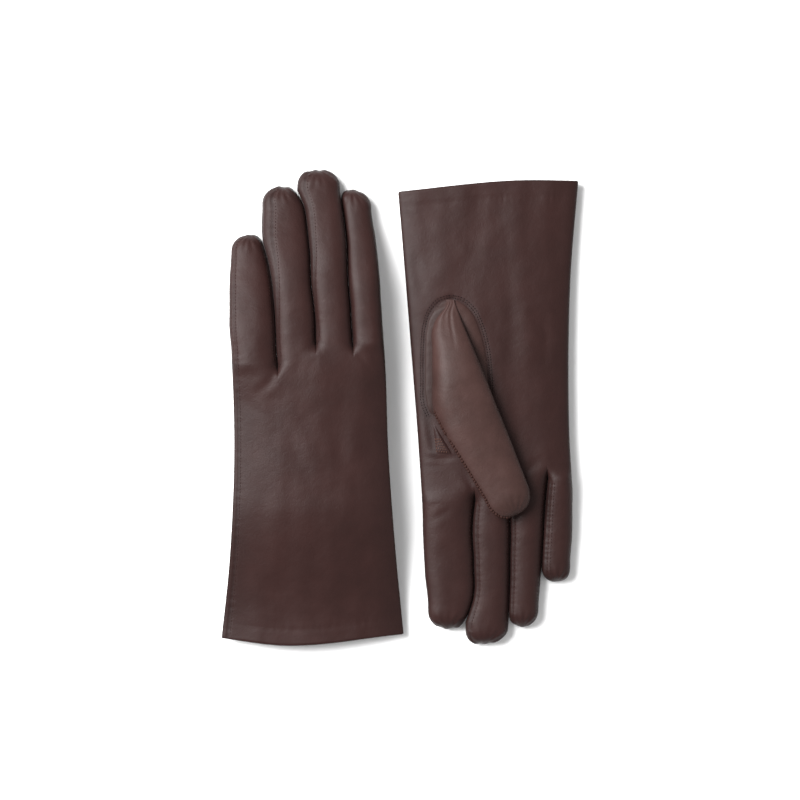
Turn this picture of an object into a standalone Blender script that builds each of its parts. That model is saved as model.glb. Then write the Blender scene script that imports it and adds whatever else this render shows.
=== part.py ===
"""Pair of long leather dress gloves, laid flat side by side on a table.

The left glove lies back up with its thumb tucked under the palm, fingers along +Y. The right glove
lies palm up with its thumb folded over the palm, fingers along -Y. Each glove is a leather shell with
an open cuff, a turned-in hem, a knitted lining, four fingers with side strips (fourchettes), a set-in
thumb with its gusset and a small triangular quirk.

Both gloves come from one set of functions. A glove is modelled in its own plan frame, with its
fingers along +Y and its little finger on -X, and is then turned and placed by an empty. Plan sizes in
the tables are millimetres; everything else is metres. +Z is up, and the origin is on the table under
the middle of the pair.
"""

import math

import bmesh
import bpy
from mathutils import Matrix, Vector

MM = 0.001

# Leather, lining and the clearances between pieces.
LEATHER = 0.8 * MM
LINING = 1.0 * MM
GAP = 0.3 * MM
SLIVER = 0.02 * MM
FINGER_GAP = 1.2 * MM
THUMB_GAP = 1.0 * MM
OPEN_END = 6.0 * MM
ROOT_INSET = 1.5 * MM

# Flat height of the glove along its length.
CUFF_HEIGHT = 11.0 * MM
HAND_HEIGHT = 13.5 * MM
FINGER_HEIGHT = 13.0 * MM
TIP_HEIGHT = 11.0 * MM
THUMB_HEIGHT = 11.0 * MM
THUMB_TIP_HEIGHT = 9.0 * MM
THUMB_ROOT_HEIGHT = 4.0 * MM

# Rings round a hand and round a digit, and how boxy their sections are.
HAND_POINTS = 20
DIGIT_POINTS = 12
HAND_POWER = 2.9
DIGIT_POWER = 2.4
TIP_POWER = 2.3

# Where the hand's sections lie, as shares of its length from the cuff edge, and where the hem ends.
HEM_SHARE = 0.05
HAND_SHARES = (HEM_SHARE, 0.28, 0.52, 0.78)

# Lengths along a digit, in millimetres.
ROOT_DEPTH = 15.0
TIP_ROUND = 12.0
STUB_OPEN = 2.0
DIGIT_OPEN = 4.0
DIGIT_STEPS = 3
TIP_STATIONS = (0.6, 0.94)
THUMB_TIP_ROUND = 15.0

# The tucked thumb lifts the glove above it by this much, between these places along the hand.
TUCK_LIFT = THUMB_HEIGHT + THUMB_GAP
LIFT_START = -128.0
LIFT_FULL = -28.0
LIFT_END = 66.0

# Thumb: where its seam starts at the wrist, its lean across the palm, and its inner and outer edges
# at distances along it. The hinge is where it comes free of the palm.
THUMB_ROOT = (20.4, -61.0)
THUMB_LEAN = math.radians(22.8)
THUMB_EDGES = ((0.0, -1.0, 8.0), (14.0, -0.5, 20.0), (28.0, -0.5, 28.0), (51.0, -1.0, 36.0),
               (72.0, -1.8, 34.5), (92.0, -1.5, 31.0), (112.0, 0.5, 29.0))
THUMB_LENGTH = 127.0
THUMB_HINGE = 70.0
THUMB_PIVOT = 36.5
GUSSET_SHARES = (0.2, 0.4, 0.7)
THUMB_HOLE = (44.0, 15.0)
THUMB_HOLE_RADII = (22.0, 9.5)

# Quirk: a triangle of leather in the palm where the thumb's outer seam ends.
QUIRK = ((27.5, 13.0), (34.5, 24.0), (22.5, 26.0))

# A side strip stands this far in from the finger's edge and this far above and below its middle.
STRIP_DEPTH = 2.6 * MM
STRIP_PROUD = 1.0 * MM
STRIP_HALF_HEIGHT = 3.2 * MM
STRIP_START = 2.0
STRIP_END = 3.0

# Each finger: base line, its edges at the base, half way and at the shoulder, and its tip.
# Edges run from the little finger's side to the thumb's side.
LEFT_FINGERS = {
    "index": (37.0, ((23.1, 40.8), (20.6, 38.2), (17.1, 33.5)), (23.0, 123.7)),
    "middle": (37.0, ((2.1, 23.1), (-1.3, 20.1), (-7.0, 15.8)), (2.7, 135.7)),
    "ring": (31.0, ((-20.5, 1.5), (-22.5, -0.9), (-28.7, -5.5)), (-17.8, 126.3)),
    "little": (24.5, ((-45.8, -20.3), (-46.9, -22.3), (-45.9, -26.2)), (-35.5, 98.6)),
}
RIGHT_FINGERS = {
    "index": (54.0, ((7.2, 37.5), (7.8, 36.3), (9.2, 33.3)), (21.6, 127.0)),
    "middle": (56.0, ((-12.8, 7.2), (-12.7, 7.8), (-11.9, 9.9)), (2.5, 135.9)),
    "ring": (50.0, ((-33.4, -12.8), (-31.3, -12.8), (-28.6, -12.2)), (-18.5, 126.0)),
    "little": (41.6, ((-48.2, -34.1), (-48.5, -32.1), (-47.3, -31.1)), (-39.3, 100.0)),
}

# Each glove: where it lies, its turn, its cuff edge and crotches as (x, y) points, and its side
# edges as (y, little side, thumb side). A hinge row gives the y where each finger starts to bend.
LEFT_GLOVE = {
    "name": "left",
    "place": (-50.0, 0.0),
    "turn": 0.0,
    "palm_up": False,
    "cuff": ((-52.0, -131.7), (-20.0, -135.6), (52.3, -129.4)),
    "crotches": ((-19.9, 24.5), (2.1, 37.5), (23.1, 36.5)),
    "edges": ((-132.0, -52.0, 52.3), (-84.0, -46.3, 47.7), (-24.5, -44.1, 43.2), (27.0, -45.8, 41.4)),
    "fingers": LEFT_FINGERS,
    "hinges": {"index": 39.0, "middle": 40.5, "ring": 40.5, "little": 27.0},
}
RIGHT_GLOVE = {
    "name": "right",
    "place": (50.0, 0.0),
    "turn": math.pi,
    "palm_up": True,
    "cuff": ((-52.0, -128.8), (-20.0, -129.0), (51.7, -122.6)),
    "crotches": ((-34.0, 41.6), (-12.8, 54.0), (7.2, 53.6)),
    "edges": ((-130.0, -52.0, 51.7), (-75.0, -47.5, 47.1), (-32.5, -46.3, 43.7), (19.0, -46.9, 39.7),
              (53.0, -48.6, 37.5)),
    "fingers": RIGHT_FINGERS,
    "hinges": {"index": 56.5, "middle": 65.0, "ring": 65.0, "little": 44.5},
}
GLOVES = (LEFT_GLOVE, RIGHT_GLOVE)

# Fingers whose side away from the thumb, or towards it, faces a neighbour.
FACES_LITTLE_SIDE = ("index", "middle", "ring")
FACES_THUMB_SIDE = ("middle", "ring", "little")

COLOURS = {
    "leather": ((0.062, 0.030, 0.027), 0.42),
    "thumb_leather": ((0.100, 0.045, 0.032), 0.40),
    "side_leather": ((0.050, 0.024, 0.021), 0.45),
    "lining": ((0.028, 0.017, 0.015), 0.90),
}


# --- helpers -------------------------------------------------------------------------------------

def interpolate(rows, x, column=1):
    """Straight-line reading of a table of rows, held at its ends."""
    if x <= rows[0][0]:
        return rows[0][column]
    for near, far in zip(rows, rows[1:]):
        if x <= far[0]:
            share = (x - near[0]) / (far[0] - near[0])
            return near[column] + share * (far[column] - near[column])
    return rows[-1][column]


def smooth_step(x, start, end):
    share = min(max((x - start) / (end - start), 0.0), 1.0)
    return share * share * (3.0 - 2.0 * share)


def unit_section(count, power):
    """Points of a flattened round section with extents of exactly one and flat facets at the extremes."""
    points = []
    for i in range(count):
        angle = 2.0 * math.pi * (i + 0.5) / count
        across = math.copysign(abs(math.cos(angle)) ** (2.0 / power), math.cos(angle))
        up = math.copysign(abs(math.sin(angle)) ** (2.0 / power), math.sin(angle))
        points.append((across, up))
    widest = max(point[0] for point in points)
    tallest = max(point[1] for point in points)
    return [(across / widest, up / tallest) for across, up in points]


def loft(name, rings):
    """Closed solid through rings of equal length, capped at both ends.

    All quads are split the same way, so that nested shells keep their clearance on twisted quads.
    """
    bm = bmesh.new()
    loops = [[bm.verts.new(point) for point in ring] for ring in rings]
    count = len(loops[0])
    for near, far in zip(loops, loops[1:]):
        for i in range(count):
            j = (i + 1) % count
            bm.faces.new((near[i], near[j], far[j], far[i]))
    for loop in (loops[0], loops[-1]):
        cap(bm, loop)
    bmesh.ops.recalc_face_normals(bm, faces=bm.faces)
    bmesh.ops.triangulate(bm, faces=bm.faces, quad_method="FIXED")
    return mesh_object(name, bm)


def cap(bm, loop):
    """Close a ring with upright strips between mirrored points, or a triangle with one face."""
    count = len(loop)
    if count == 3:
        bm.faces.new(loop)
    for i in range(count // 2 - 1 if count > 3 else 0):
        bm.faces.new((loop[i], loop[i + 1], loop[count - 2 - i], loop[count - 1 - i]))


def mesh_object(name, bm):
    mesh = bpy.data.meshes.new(name)
    bm.to_mesh(mesh)
    bm.free()
    obj = bpy.data.objects.new(name, mesh)
    bpy.context.scene.collection.objects.link(obj)
    return obj


def clean(mesh):
    """Join the slivers that a Boolean leaves."""
    bm = bmesh.new()
    bm.from_mesh(mesh)
    bmesh.ops.remove_doubles(bm, verts=bm.verts, dist=SLIVER)
    bmesh.ops.dissolve_degenerate(bm, edges=bm.edges, dist=SLIVER)
    bm.to_mesh(mesh)
    bm.free()


def boolean(base, tool, operation, keep_tool=False):
    """Apply one exact Boolean to base, and drop the tool unless it is used again."""
    modifier = base.modifiers.new("cut", "BOOLEAN")
    modifier.operation = operation
    modifier.solver = "EXACT"
    modifier.object = tool
    bpy.context.view_layer.update()
    graph = bpy.context.evaluated_depsgraph_get()
    result = bpy.data.meshes.new_from_object(base.evaluated_get(graph))
    clean(result)
    base.modifiers.clear()
    spent = base.data
    base.data = result
    bpy.data.meshes.remove(spent)
    if not keep_tool:
        bpy.data.objects.remove(tool)
    return base


def material(slot):
    """Principled material of one slot, made once."""
    found = bpy.data.materials.get(slot)
    if found:
        return found
    colour, roughness = COLOURS[slot]
    made = bpy.data.materials.new(slot)
    made.use_nodes = True
    shader = made.node_tree.nodes["Principled BSDF"]
    shader.inputs["Base Color"].default_value = (*colour, 1.0)
    shader.inputs["Roughness"].default_value = roughness
    shader.inputs["Metallic"].default_value = 0.0
    return made


def finish_part(obj, name, slot, parent, collection):
    """Name a finished piece, give it its material, and put its origin on its parent's."""
    obj.name = name
    obj.data.name = name
    obj.data.materials.clear()
    obj.data.materials.append(material(slot))
    obj.data.transform(parent["frame_in_glove"].inverted())
    obj.parent = parent["empty"]
    bpy.context.scene.collection.objects.unlink(obj)
    collection.objects.link(obj)
    return obj


# --- the hand ------------------------------------------------------------------------------------

def lift(glove, y, end=None):
    """Height of the glove's underside: the left glove lies over its own tucked thumb."""
    if glove["palm_up"]:
        return 0.0
    rise = smooth_step(y, LIFT_START, LIFT_FULL)
    fall = smooth_step(y, LIFT_END, end) if end else 0.0
    return TUCK_LIFT * rise * (1.0 - fall)


def hand_height(y):
    return CUFF_HEIGHT + (HAND_HEIGHT - CUFF_HEIGHT) * smooth_step(y, -132.0, -50.0)


def hand_ring(glove, share, inset, shift=0.0):
    """Section of the hand at a share of the way from its cuff edge to its crotches."""
    nominal = glove["cuff"][0][1] + share * (glove["crotches"][0][1] - glove["cuff"][0][1])
    low = interpolate(glove["edges"], nominal, 1) * MM + inset
    high = interpolate(glove["edges"], nominal, 2) * MM - inset
    ring = []
    for across, up in unit_section(HAND_POINTS, HAND_POWER):
        x = 0.5 * (low + high) + 0.5 * (high - low) * across
        cuff_y = interpolate(glove["cuff"], x / MM)
        crotch_y = interpolate(glove["crotches"], x / MM)
        y = (cuff_y + share * (crotch_y - cuff_y)) * MM
        half = 0.5 * hand_height(y / MM)
        ring.append(Vector((x, y + shift, lift(glove, y / MM) + half + (half - inset) * up)))
    return ring


def hand_solid(glove, inset, first=0.0, over_cuff=0.0):
    """Flattened hand set in by inset, from a share of its length, or from outside the cuff edge."""
    rings = [hand_ring(glove, first, inset, GAP if first else 0.0)]
    if over_cuff:
        rings.insert(0, hand_ring(glove, first, inset, -over_cuff))
    rings += [hand_ring(glove, share, inset) for share in HAND_SHARES if share > first]
    rings.append(hand_ring(glove, 1.0, inset, -inset))
    return loft("hand", rings)


# --- fingers -------------------------------------------------------------------------------------

def finger_lean(finger):
    """Slope of the finger's middle line: how far x moves for each step in y."""
    base, edges, tip = finger
    return (tip[0] - 0.5 * sum(edges[0])) / (tip[1] - base)


def finger_edge(finger, y, side):
    """Finger's edge at y: a parabola through its base, half-way and shoulder edges."""
    base, edges, tip = finger
    shoulder = tip[1] - TIP_ROUND
    t = (min(y, shoulder) - 0.5 * (base + shoulder)) / (0.5 * (shoulder - base))
    near, middle, far = (pair[side] for pair in edges)
    return middle + 0.5 * (far - near) * t + 0.5 * (far + near - 2.0 * middle) * t * t


def finger_ring(glove, name, y, inset, grow_root=0.0):
    """One cross-section of a finger at y millimetres along the glove."""
    finger = glove["fingers"][name]
    tip_x, tip_y = finger[2]
    gaps = (name in FACES_LITTLE_SIDE, name in FACES_THUMB_SIDE)
    low = finger_edge(finger, y, 0) * MM + inset + gaps[0] * 0.5 * FINGER_GAP + grow_root
    high = finger_edge(finger, y, 1) * MM - inset - gaps[1] * 0.5 * FINGER_GAP - grow_root
    share = smooth_step(y, finger[0], tip_y - TIP_ROUND)
    height = FINGER_HEIGHT + (TIP_HEIGHT - FINGER_HEIGHT) * share - 2.0 * grow_root
    shoulder = tip_y - TIP_ROUND
    past = min(max((y - shoulder) / (TIP_ROUND - inset / MM), 0.0), 0.995)
    rounding = (1.0 - past ** TIP_POWER) ** (1.0 / TIP_POWER)
    centre = 0.5 * (low + high)
    centre += (tip_x * MM - centre) * past * past
    half_width = 0.5 * (high - low) * rounding
    half_height = (0.5 * height - inset) * rounding
    middle = lift(glove, y, tip_y) + grow_root + 0.5 * height * (0.3 + 0.7 * rounding)
    lean = finger_lean(finger)
    ring = []
    for across, up in unit_section(DIGIT_POINTS, DIGIT_POWER):
        x = centre + half_width * across
        ring.append(Vector((x, y * MM - half_width * across * lean, middle + half_height * up)))
    return ring


def finger_stub(glove, name, inset, beyond):
    """Start of a finger, from inside the hand to a distance beyond its hinge line."""
    base = glove["fingers"][name][0]
    rings = [finger_ring(glove, name, base - ROOT_DEPTH, inset, grow_root=ROOT_INSET)]
    rings.append(finger_ring(glove, name, base, inset))
    rings.append(finger_ring(glove, name, glove["hinges"][name] + beyond, inset))
    return loft(name, rings)


def finger_solid(glove, name, inset, behind=0.0):
    """Finger from its hinge line to its tip, started behind the line by a few millimetres if asked."""
    start = glove["hinges"][name] + 0.5 * GAP / MM
    shoulder = glove["fingers"][name][2][1] - TIP_ROUND
    stations = [start - behind] if behind else []
    stations += [start + (shoulder - start) * i / DIGIT_STEPS for i in range(DIGIT_STEPS + 1)]
    stations += [shoulder + past * (TIP_ROUND - inset / MM) for past in TIP_STATIONS]
    return loft(name, [finger_ring(glove, name, y, inset) for y in stations])


def side_strip(glove, name, side, grow):
    """Block round the middle of one side wall of a finger, which the side strip is cut from."""
    finger = glove["fingers"][name]
    start = glove["hinges"][name] + STRIP_START - grow / MM
    end = finger[2][1] - TIP_ROUND + STRIP_END + grow / MM
    inward = 1.0 if side == 0 else -1.0
    rings = []
    for i in range(5):
        y = start + (end - start) * i / 4
        edge = finger_edge(finger, y, side) * MM + inward * 0.5 * FINGER_GAP
        ring = finger_ring(glove, name, y, 0.0)
        middle = 0.5 * (max(point.z for point in ring) + min(point.z for point in ring))
        half = STRIP_HALF_HEIGHT + grow
        xs = (edge - inward * STRIP_PROUD, edge + inward * (STRIP_DEPTH + grow))
        corners = ((xs[0], -half), (xs[1], -half), (xs[1], half), (xs[0], half))
        rings.append([Vector((x, y * MM, middle + z)) for x, z in corners])
    return loft("strip", rings)


# --- the thumb -----------------------------------------------------------------------------------

def thumb_point(along, across, z):
    """Point at a distance along and across the thumb, both in millimetres."""
    x = THUMB_ROOT[0] - along * math.sin(THUMB_LEAN) + across * math.cos(THUMB_LEAN)
    y = THUMB_ROOT[1] + along * math.cos(THUMB_LEAN) + across * math.sin(THUMB_LEAN)
    return Vector((x * MM, y * MM, z))


def thumb_bed(glove):
    """Height that the thumb lies at: on the palm, or on the table under it."""
    return HAND_HEIGHT + THUMB_GAP if glove["palm_up"] else 0.0


def thumb_height(along):
    rise = smooth_step(along, 0.0, 45.0)
    fall = smooth_step(along, 60.0, THUMB_LENGTH - THUMB_TIP_ROUND)
    height = THUMB_ROOT_HEIGHT + (THUMB_HEIGHT - THUMB_ROOT_HEIGHT) * rise
    return height + (THUMB_TIP_HEIGHT - THUMB_HEIGHT) * fall


def thumb_ring(glove, along, inset):
    low = interpolate(THUMB_EDGES, along, 1) + inset / MM
    high = interpolate(THUMB_EDGES, along, 2) - inset / MM
    shoulder = THUMB_LENGTH - THUMB_TIP_ROUND
    past = min(max((along - shoulder) / (THUMB_TIP_ROUND - inset / MM), 0.0), 0.995)
    rounding = (1.0 - past ** TIP_POWER) ** (1.0 / TIP_POWER)
    height = thumb_height(along)
    middle = thumb_bed(glove) + 0.5 * height * (0.4 + 0.6 * rounding)
    half_height = (0.5 * height - inset) * rounding
    centre = 0.5 * (low + high)
    half_width = 0.5 * (high - low) * rounding
    return [thumb_point(along, centre + half_width * across, middle + half_height * up)
            for across, up in unit_section(DIGIT_POINTS, DIGIT_POWER)]


def thumb_solid(glove, inset, behind=0.0):
    """Thumb from its hinge line to its tip, started behind the line if asked."""
    start = THUMB_HINGE + 0.5 * GAP / MM
    shoulder = THUMB_LENGTH - THUMB_TIP_ROUND
    stations = [start - behind] if behind else []
    stations += [start + (shoulder - start) * i / DIGIT_STEPS for i in range(DIGIT_STEPS + 1)]
    stations += [shoulder + past * (THUMB_TIP_ROUND - inset / MM) for past in TIP_STATIONS]
    return loft("thumb", [thumb_ring(glove, along, inset) for along in stations])


def gusset_solid(glove, inset, beyond=0.0):
    """Thumb's set-in part, from the wrist to its hinge line or a little beyond."""
    end = THUMB_HINGE - 0.5 * GAP / MM
    stations = [inset / MM] + [end * share for share in GUSSET_SHARES] + [end]
    if beyond:
        stations.append(end + beyond)
    return loft("gusset", [thumb_ring(glove, along, inset) for along in stations])


def thumb_hole(glove, grow=0.0):
    """Upright oval through the palm and the facing side of the thumb's gusset."""
    if glove["palm_up"]:
        low, high = 0.5 * HAND_HEIGHT, thumb_bed(glove) + 0.4 * THUMB_HEIGHT
    else:
        low, high = 0.6 * THUMB_HEIGHT, TUCK_LIFT + 0.5 * HAND_HEIGHT
    bm = bmesh.new()
    bmesh.ops.create_cone(bm, cap_ends=True, segments=20, radius1=1.0, radius2=1.0, depth=1.0)
    size = Matrix.Diagonal((THUMB_HOLE_RADII[1] * MM + grow, THUMB_HOLE_RADII[0] * MM + grow, high - low, 1.0))
    place = Matrix.Translation(thumb_point(*THUMB_HOLE, 0.5 * (low + high)))
    bm.transform(place @ Matrix.Rotation(THUMB_LEAN, 4, "Z") @ size)
    return mesh_object("hole", bm)


def quirk_prism(glove, grow):
    """Upright triangle through the palm's skin only, grown outwards by grow."""
    middle = Vector((sum(p[0] for p in QUIRK) / 3.0, sum(p[1] for p in QUIRK) / 3.0))
    if glove["palm_up"]:
        low, high = 0.6 * HAND_HEIGHT, HAND_HEIGHT + 0.5 * THUMB_GAP
    else:
        low, high = TUCK_LIFT - 0.5 * THUMB_GAP, TUCK_LIFT + 0.4 * HAND_HEIGHT
    rings = []
    for z in (low, high):
        ring = []
        for corner in QUIRK:
            out = (Vector(corner) - middle).normalized() * 2.0 * grow / MM
            ring.append(Vector(((corner[0] + out.x) * MM, (corner[1] + out.y) * MM, z)))
        rings.append(ring)
    return loft("quirk", rings)


# --- assembly ------------------------------------------------------------------------------------

def glove_solid(glove, inset, beyond, first=0.0, over_cuff=0.0):
    """Hand joined to the stubs of its four fingers, as one solid set in by inset."""
    solid = hand_solid(glove, inset, first, over_cuff)
    for name in glove["fingers"]:
        boolean(solid, finger_stub(glove, name, inset, beyond), "UNION")
    return solid


def glove_shell(glove, outer, thickness, first=0.0):
    """Hand shell between two insets, open at the cuff and at each finger."""
    shell = glove_solid(glove, outer, -0.5 * GAP / MM, first)
    hollow = glove_solid(glove, outer + thickness, STUB_OPEN, first, OPEN_END)
    return boolean(shell, hollow, "DIFFERENCE")


def digit_shell(glove, name, outer, thickness):
    """Finger or thumb beyond its hinge, hollow and open at its base."""
    inner = outer + thickness
    if name == "thumb":
        return boolean(thumb_solid(glove, outer), thumb_solid(glove, inner, DIGIT_OPEN), "DIFFERENCE")
    shell = finger_solid(glove, name, outer)
    return boolean(shell, finger_solid(glove, name, inner, DIGIT_OPEN), "DIFFERENCE")


def gusset_shell(glove, outer, thickness):
    """Hollow gusset, open at the thumb's hinge and over the palm's hole."""
    shell = gusset_solid(glove, outer)
    boolean(shell, gusset_solid(glove, outer + thickness, DIGIT_OPEN), "DIFFERENCE")
    return boolean(shell, thumb_hole(glove), "DIFFERENCE")


def frame_empty(name, parent, point, turn, collection):
    """Empty on a joint's axis, and the same frame in the glove's plan frame."""
    empty = bpy.data.objects.new(name, None)
    empty.empty_display_size = 0.01
    collection.objects.link(empty)
    empty.parent = parent
    empty.location = point
    empty.rotation_euler = (0.0, 0.0, turn)
    frame = Matrix.Translation(point) @ Matrix.Rotation(turn, 4, "Z")
    return {"empty": empty, "frame_in_glove": frame}


def finger_hinge_point(glove, name):
    """Middle of the finger's hinge line, in its upper skin."""
    ring = finger_ring(glove, name, glove["hinges"][name], 0.0)
    x = sum(point.x for point in ring) / len(ring)
    y = sum(point.y for point in ring) / len(ring)
    return Vector((x, y, max(point.z for point in ring)))


def thumb_hinge_point(glove):
    """Right thumb: in its upper skin. Left thumb: at its outer edge, where it swings out flat."""
    if glove["palm_up"]:
        low = interpolate(THUMB_EDGES, THUMB_HINGE, 1)
        high = interpolate(THUMB_EDGES, THUMB_HINGE, 2)
        return thumb_point(THUMB_HINGE, 0.5 * (low + high), thumb_bed(glove) + THUMB_HEIGHT)
    return thumb_point(THUMB_HINGE, THUMB_PIVOT, 0.5 * THUMB_HEIGHT)


def make_hand(glove, frame, collection):
    """Leather hand, hem, lining, thumb gusset with its lining, and quirk."""
    side = glove["name"]
    leather = glove_shell(glove, 0.0, LEATHER)
    boolean(leather, thumb_hole(glove), "DIFFERENCE")
    quirk = leather.copy()
    quirk.data = leather.data.copy()
    bpy.context.scene.collection.objects.link(quirk)
    boolean(quirk, quirk_prism(glove, 0.0), "INTERSECT")
    boolean(leather, quirk_prism(glove, GAP), "DIFFERENCE")
    lining_outer = LEATHER + GAP
    hem = hand_hem(glove, lining_outer)
    lining = glove_shell(glove, lining_outer, LINING, HEM_SHARE)
    boolean(lining, thumb_hole(glove), "DIFFERENCE")
    finish_part(leather, f"{side}_hand_leather", "leather", frame, collection)
    finish_part(quirk, f"{side}_thumb_quirk", "side_leather", frame, collection)
    finish_part(hem, f"{side}_cuff_hem", "leather", frame, collection)
    finish_part(lining, f"{side}_hand_lining", "lining", frame, collection)
    gusset = gusset_shell(glove, 0.0, LEATHER)
    finish_part(gusset, f"{side}_thumb_gusset", "thumb_leather", frame, collection)
    gusset_lining = gusset_shell(glove, lining_outer, LINING)
    finish_part(gusset_lining, f"{side}_thumb_gusset_lining", "lining", frame, collection)


def hand_hem(glove, inset):
    """Turned-in band of leather inside the cuff edge."""
    band = loft("hem", [hand_ring(glove, share, inset) for share in (0.0, HEM_SHARE)])
    inner = inset + LEATHER
    ends = ((0.0, -OPEN_END), (0.0, 0.0), (HEM_SHARE, 0.0), (HEM_SHARE, OPEN_END))
    hollow = loft("hem", [hand_ring(glove, share, inner, shift) for share, shift in ends])
    return boolean(band, hollow, "DIFFERENCE")


def make_finger(glove, name, hand_frame, collection):
    """One finger: leather, lining and the strips in the sides that face a neighbour."""
    side = glove["name"]
    finger = glove["fingers"][name]
    turn = -math.atan(finger_lean(finger))
    point = finger_hinge_point(glove, name)
    frame = frame_empty(f"{side}_{name}_hinge", hand_frame["empty"], point, turn, collection)
    leather = digit_shell(glove, name, 0.0, LEATHER)
    strips = []
    if name in FACES_LITTLE_SIDE:
        strips.append((0, f"{side}_{name}_outer_fourchette"))
    if name in FACES_THUMB_SIDE:
        strips.append((1, f"{side}_{name}_inner_fourchette"))
    for edge, strip_name in strips:
        strip = side_strip(glove, name, edge, 0.0)
        boolean(strip, leather, "INTERSECT", keep_tool=True)
        finish_part(strip, strip_name, "side_leather", frame, collection)
    for edge, _strip_name in strips:
        boolean(leather, side_strip(glove, name, edge, GAP), "DIFFERENCE")
    finish_part(leather, f"{side}_{name}_leather", "leather", frame, collection)
    lining = digit_shell(glove, name, LEATHER + GAP, LINING)
    finish_part(lining, f"{side}_{name}_lining", "lining", frame, collection)


def make_thumb(glove, hand_frame, collection):
    side = glove["name"]
    point = thumb_hinge_point(glove)
    frame = frame_empty(f"{side}_thumb_hinge", hand_frame["empty"], point, THUMB_LEAN, collection)
    leather = digit_shell(glove, "thumb", 0.0, LEATHER)
    finish_part(leather, f"{side}_thumb_leather", "thumb_leather", frame, collection)
    lining = digit_shell(glove, "thumb", LEATHER + GAP, LINING)
    finish_part(lining, f"{side}_thumb_lining", "lining", frame, collection)


def make_glove(glove, collection):
    place = Vector((glove["place"][0] * MM, glove["place"][1] * MM, 0.0))
    frame = frame_empty(f"{glove['name']}_glove", None, place, glove["turn"], collection)
    frame["frame_in_glove"] = Matrix.Identity(4)
    make_hand(glove, frame, collection)
    make_thumb(glove, frame, collection)
    for name in glove["fingers"]:
        make_finger(glove, name, frame, collection)


def main():
    for obj in list(bpy.data.objects):
        bpy.data.objects.remove(obj)
    collection = bpy.data.collections.new("leather_gloves")
    bpy.context.scene.collection.children.link(collection)
    for glove in GLOVES:
        make_glove(glove, collection)
    bpy.context.view_layer.update()


main()
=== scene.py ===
"""Looks of a pair of long leather dress gloves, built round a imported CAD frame.

Each glove's leather is one continuous skin, worked out as rows of points and then split at its seams and
at the fingers' roots, so that a finger can fold without a tear. Lengths in tables are millimetres in the
glove's own plan: x towards the thumb's side, y towards the fingertips.
"""

import math

import bpy
import numpy as np
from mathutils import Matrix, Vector, noise
from mathutils.bvhtree import BVHTree


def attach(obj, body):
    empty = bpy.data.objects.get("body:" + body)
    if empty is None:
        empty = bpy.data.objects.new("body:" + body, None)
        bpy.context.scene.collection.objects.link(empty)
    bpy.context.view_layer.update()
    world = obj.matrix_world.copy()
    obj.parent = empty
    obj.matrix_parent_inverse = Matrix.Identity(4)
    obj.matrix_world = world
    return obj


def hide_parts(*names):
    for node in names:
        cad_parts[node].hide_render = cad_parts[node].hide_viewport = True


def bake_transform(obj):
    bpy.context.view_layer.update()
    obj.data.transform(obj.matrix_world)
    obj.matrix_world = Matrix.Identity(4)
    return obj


MM = 0.001
DOWN = Vector((0.0, 0.0, -1.0))

# --- sizes, in millimetres ---

CUFF_HEIGHT = 11.0
HAND_HEIGHT = 13.5
FINGER_HEIGHT = 13.0
TIP_HEIGHT = 11.0
CUFF_END = -132.0
FULL_HAND = -50.0
FINGER_CLEARANCE = 0.03
HEM_THICKNESS = 1.7
HEM_DEPTH = 8.5
LINING_INSET = 1.9

# How square a round is across the hand, a finger, a thumb, and round a tip in plan: 2 is an ellipse.
HAND_POWER = 2.9
DIGIT_POWER = 2.3
THUMB_POWER = 2.15
TIP_POWER = 2.4
TIP_TURN = math.radians(89.0)
TIP_ROUND = {"index": 10.5, "middle": 10.5, "ring": 11.0, "little": 10.0}
TIP_RAGGED = 0.8

# The left glove lies over its own thumb: the rise starts near the cuff and falls away at the tips.
LIFT = 12.0
LIFT_START = -130.0
LIFT_FULL = -52.0
LIFT_FALL = 60.0

# How far below the crotches the grooves run and the hand's swell takes over, and how far above them the
# fingers are open and their rows are square.
GROOVE_REACH = 9.0
DOME_FADE = 28.0
FINGER_OPENING = 9.0
ROOT_TILT_FADE = 30.0

# Points across one finger's width, and rows along the hand, the finger and its rounded tip.
ACROSS = 28
HAND_ROWS = 128
FINGER_ROWS = 72
TIP_ROWS = 16
SIDE_SEAM_COLUMN = 6
STRIP_UNDER = 3
STRIP_ROWS = (2, FINGER_ROWS + TIP_ROWS - 5)

# Rings of the turned-in hem: how far in from the cuff's edge, and the share of the hem's thickness.
INNER_OFFSETS = ((-0.5, 0.5), (0.4, 1.0), (3.5, 1.05), (HEM_DEPTH, 1.1))

# Slack of the leather as layers of smooth noise: height, length, seed's step and stretch along the glove.
SLACK = ((0.42, 24.0, 0.0, 1.0), (0.20, 9.0, 5.0, 1.0), (0.05, 3.2, 9.0, 1.0), (0.45, 12.0, 2.0, 0.22))

# The thumb lies along a line from its root. Its edges are distances along it and to each side of it.
THUMB_ROOT = (20.4, -61)
THUMB_LEAN = math.radians(22.8)
THUMB_EDGES = (
    (0, -1, 2.5), (2.7, -1, 5.8), (5.6, -0.8, 11.6), (10.2, -0.6, 16.3), (21.9, -0.5, 21.5),
    (37.6, -0.5, 28.2), (53.5, -0.3, 34.3), (63, 0, 34.2), (82.7, 0.2, 31.3), (104.2, 0.8, 28),
    (112, 1, 26.9),
)
THUMB_LENGTH = 127.0
THUMB_TIP_ROUND = 15.0
THUMB_SHOULDER = THUMB_LENGTH - THUMB_TIP_ROUND
THUMB_HINGE = 70.0
THUMB_HEIGHT = 11.0
THUMB_TIP_HEIGHT = 9.0
THUMB_ROOT_HEIGHT = 2.0
THUMB_FULL_AT = 45.0
THUMB_ROOT_SINK = 1.9
THUMB_SINK_FADE = 22.0
THUMB_BEDDED = 2.4
THUMB_BED_FADE = (30.0, 58.0)
THUMB_SEWN_FADE = (52.0, 78.0)
THUMB_EDGE_DROP = 0.9
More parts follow.
